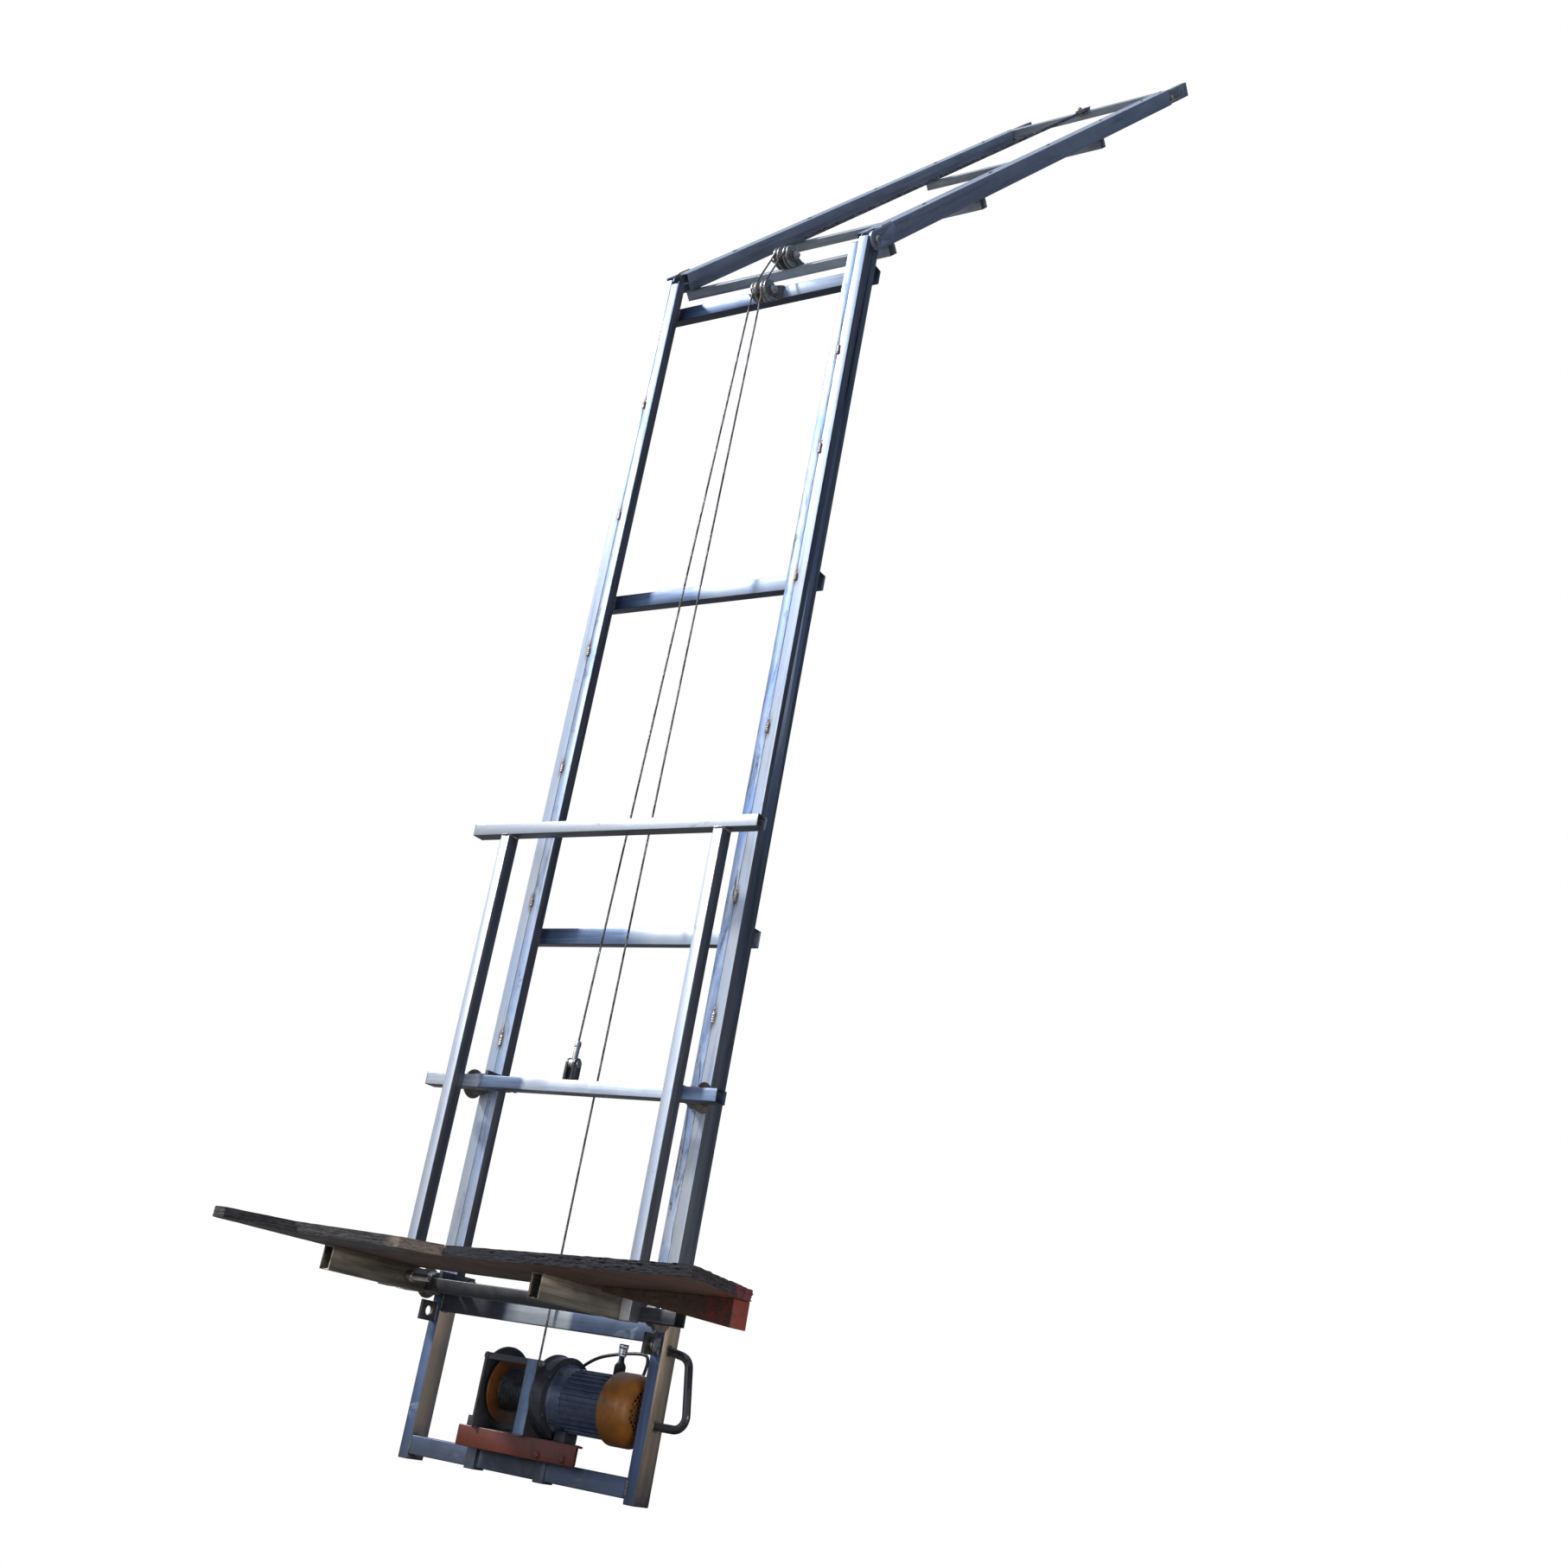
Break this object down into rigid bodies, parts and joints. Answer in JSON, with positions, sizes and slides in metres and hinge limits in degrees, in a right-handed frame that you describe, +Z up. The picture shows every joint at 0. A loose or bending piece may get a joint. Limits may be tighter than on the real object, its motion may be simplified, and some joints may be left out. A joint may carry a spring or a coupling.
{
  "type": "material hoist",
  "caption": "Inclined ladder hoist with a knee: mast, roof frame, forked carriage on rollers and an electric rope winch in the foot.",
  "frame": {"origin": "on the ground, midway between the feet, in the plane of the rails' front faces", "axes": "X to the right seen from the carriage side, Y back from the front of the rails, Z up"},
  "size_m": [1.41, 2.8648, 5.7066],
  "materials": {
    "foot_paint": "worn blue paint",
    "galvanised": "galvanised, weathered",
    "roof_galvanised": "galvanised, weathered",
    "zinc": "zinc plated",
    "black_paint": "gloss black",
    "winch_navy": "satin navy paint",
    "gearbox_black": "satin black paint",
    "channel_red": "red oxide paint",
    "amber_paint": "amber paint",
    "roller_nylon": "black nylon",
    "rope_steel": "greased wire rope",
    "plywood": "film faced plywood",
    "red_wood": "red painted timber",
    "black_plastic": "moulded",
    "carriage_dark": "dark weathered steel"
  },
  "bodies": {
    "foot_and_mast": {"base_rails": "foot_paint", "base_bars": "foot_paint", "base_lugs": "foot_paint", "lug_bolt": "zinc", "base_spigots": "zinc", "carry_handle": "black_paint", "mast_rail_left": "galvanised", "mast_rail_right": "galvanised", "mast_guides": "galvanised", "mast_rungs": "galvanised", "hinge_pins": "zinc", "lower_block": "carriage_dark", "winch_channel": "channel_red", "channel_clamps": "carriage_dark", "winch_frame": "winch_navy", "gearbox": "gearbox_black", "motor_foot": "winch_navy", "motor_body": "winch_navy", "fan_cover": "amber_paint", "terminal_box": "black_plastic", "motor_lead": "black_plastic", "winch_rope_line": "rope_steel", "bend_ropes": "rope_steel"},
    "roof_frame": {"roof_rail_left": "roof_galvanised", "roof_rail_right": "roof_galvanised", "roof_guides": "roof_galvanised", "roof_bars": "roof_galvanised", "roof_end_bar": "roof_galvanised", "hinge_plates": "roof_galvanised", "roof_spigots": "zinc", "spigot_bolts": "zinc", "upper_block": "carriage_dark", "end_block": "carriage_dark", "roof_rope": "rope_steel"},
    "carriage": {"carriage_uprights": "galvanised", "carriage_top_bar": "galvanised", "carriage_low_bars": "carriage_dark", "forks": "carriage_dark", "fork_pins": "zinc", "roller_brackets": "carriage_dark", "roller_arms": "carriage_dark", "rope_lug": "carriage_dark", "rope_socket": "zinc", "deck_board": "plywood", "deck_offcut": "plywood", "deck_batten": "red_wood", "carriage_rope_line": "rope_steel"},
    "upper_front_rollers": {"front_rollers_upper": "roller_nylon"},
    "lower_front_rollers": {"front_rollers_lower": "roller_nylon"},
    "upper_rear_rollers": {"rear_rollers_upper": "roller_nylon"},
    "lower_rear_rollers": {"rear_rollers_lower": "roller_nylon"},
    "lower_left_sheave": {"lower_sheave_left": "zinc"},
    "lower_right_sheave": {"lower_sheave_right": "zinc"},
    "upper_left_sheave": {"upper_sheave_left": "zinc"},
    "upper_right_sheave": {"upper_sheave_right": "zinc"},
    "roof_end_sheave": {"end_sheave": "zinc"},
    "drum": {"winch_drum": "amber_paint", "drum_shaft": "zinc", "drum_rope": "rope_steel"},
    "rotor": {"motor_rotor": "zinc"}
  },
  "joints": [
    {"name": "carriage_travel", "type": "slide", "parent": "foot_and_mast", "child": "carriage", "axis": [0, 0, 1], "range_m": [0, 2.25], "deforming": ["carriage_rope_line"]},
    {"name": "roof_tilt", "type": "hinge", "parent": "foot_and_mast", "child": "roof_frame", "pos_m": [0, 0.036, 3.475], "axis": [1, 0, 0], "range_deg": [-20, 10], "deforming": ["bend_ropes"]},
    {"name": "upper_front_roller_spin", "type": "hinge", "parent": "carriage", "child": "upper_front_rollers", "pos_m": [0, -0.0283, 0.932], "axis": [1, 0, 0], "continuous": true},
    {"name": "lower_front_roller_spin", "type": "hinge", "parent": "carriage", "child": "lower_front_rollers", "pos_m": [0, -0.0283, 0.418], "axis": [1, 0, 0], "continuous": true},
    {"name": "upper_rear_roller_spin", "type": "hinge", "parent": "carriage", "child": "upper_rear_rollers", "pos_m": [0, 0.0463, 0.946], "axis": [1, 0, 0], "continuous": true},
    {"name": "lower_rear_roller_spin", "type": "hinge", "parent": "carriage", "child": "lower_rear_rollers", "pos_m": [0, 0.0463, 0.432], "axis": [1, 0, 0], "continuous": true},
    {"name": "lower_left_sheave_spin", "type": "hinge", "parent": "foot_and_mast", "child": "lower_left_sheave", "pos_m": [0, 0.014, 3.36], "axis": [1, 0, 0], "continuous": true},
    {"name": "lower_right_sheave_spin", "type": "hinge", "parent": "foot_and_mast", "child": "lower_right_sheave", "pos_m": [0.033, 0.014, 3.36], "axis": [1, 0, 0], "continuous": true},
    {"name": "upper_left_sheave_spin", "type": "hinge", "parent": "roof_frame", "child": "upper_left_sheave", "pos_m": [0, 0.08653, 3.53346], "axis": [1, 0, 0], "continuous": true},
    {"name": "upper_right_sheave_spin", "type": "hinge", "parent": "roof_frame", "child": "upper_right_sheave", "pos_m": [0.033, 0.08653, 3.53346], "axis": [1, 0, 0], "continuous": true},
    {"name": "end_sheave_spin", "type": "hinge", "parent": "roof_frame", "child": "roof_end_sheave", "pos_m": [0.0165, 1.80892, 5.46795], "axis": [0, 0.7396, -0.673], "continuous": true},
    {"name": "drum_spin", "type": "hinge", "parent": "foot_and_mast", "child": "drum", "pos_m": [0, 0.04, 0.2], "axis": [1, 0, 0], "continuous": true},
    {"name": "motor_spin", "type": "hinge", "parent": "foot_and_mast", "child": "rotor", "pos_m": [0.2, 0.04, 0.2], "axis": [1, 0, 0], "continuous": true}
  ],
  "couplings": [
    {"joint": "upper_front_roller_spin", "follows": "carriage_travel", "rad_per_m": -35.714},
    {"joint": "lower_front_roller_spin", "follows": "carriage_travel", "rad_per_m": -35.714},
    {"joint": "upper_rear_roller_spin", "follows": "carriage_travel", "rad_per_m": 62.5},
    {"joint": "lower_rear_roller_spin", "follows": "carriage_travel", "rad_per_m": 62.5},
    {"joint": "lower_left_sheave_spin", "follows": "carriage_travel", "rad_per_m": -35.714},
    {"joint": "upper_left_sheave_spin", "follows": "carriage_travel", "rad_per_m": -35.714},
    {"joint": "lower_right_sheave_spin", "follows": "carriage_travel", "rad_per_m": 35.714},
    {"joint": "upper_right_sheave_spin", "follows": "carriage_travel", "rad_per_m": 35.714},
    {"joint": "end_sheave_spin", "follows": "carriage_travel", "rad_per_m": 60.606},
    {"joint": "drum_spin", "follows": "carriage_travel", "rad_per_m": 20.408},
    {"joint": "motor_spin", "follows": "carriage_travel", "rad_per_m": 408.16}
  ]
}
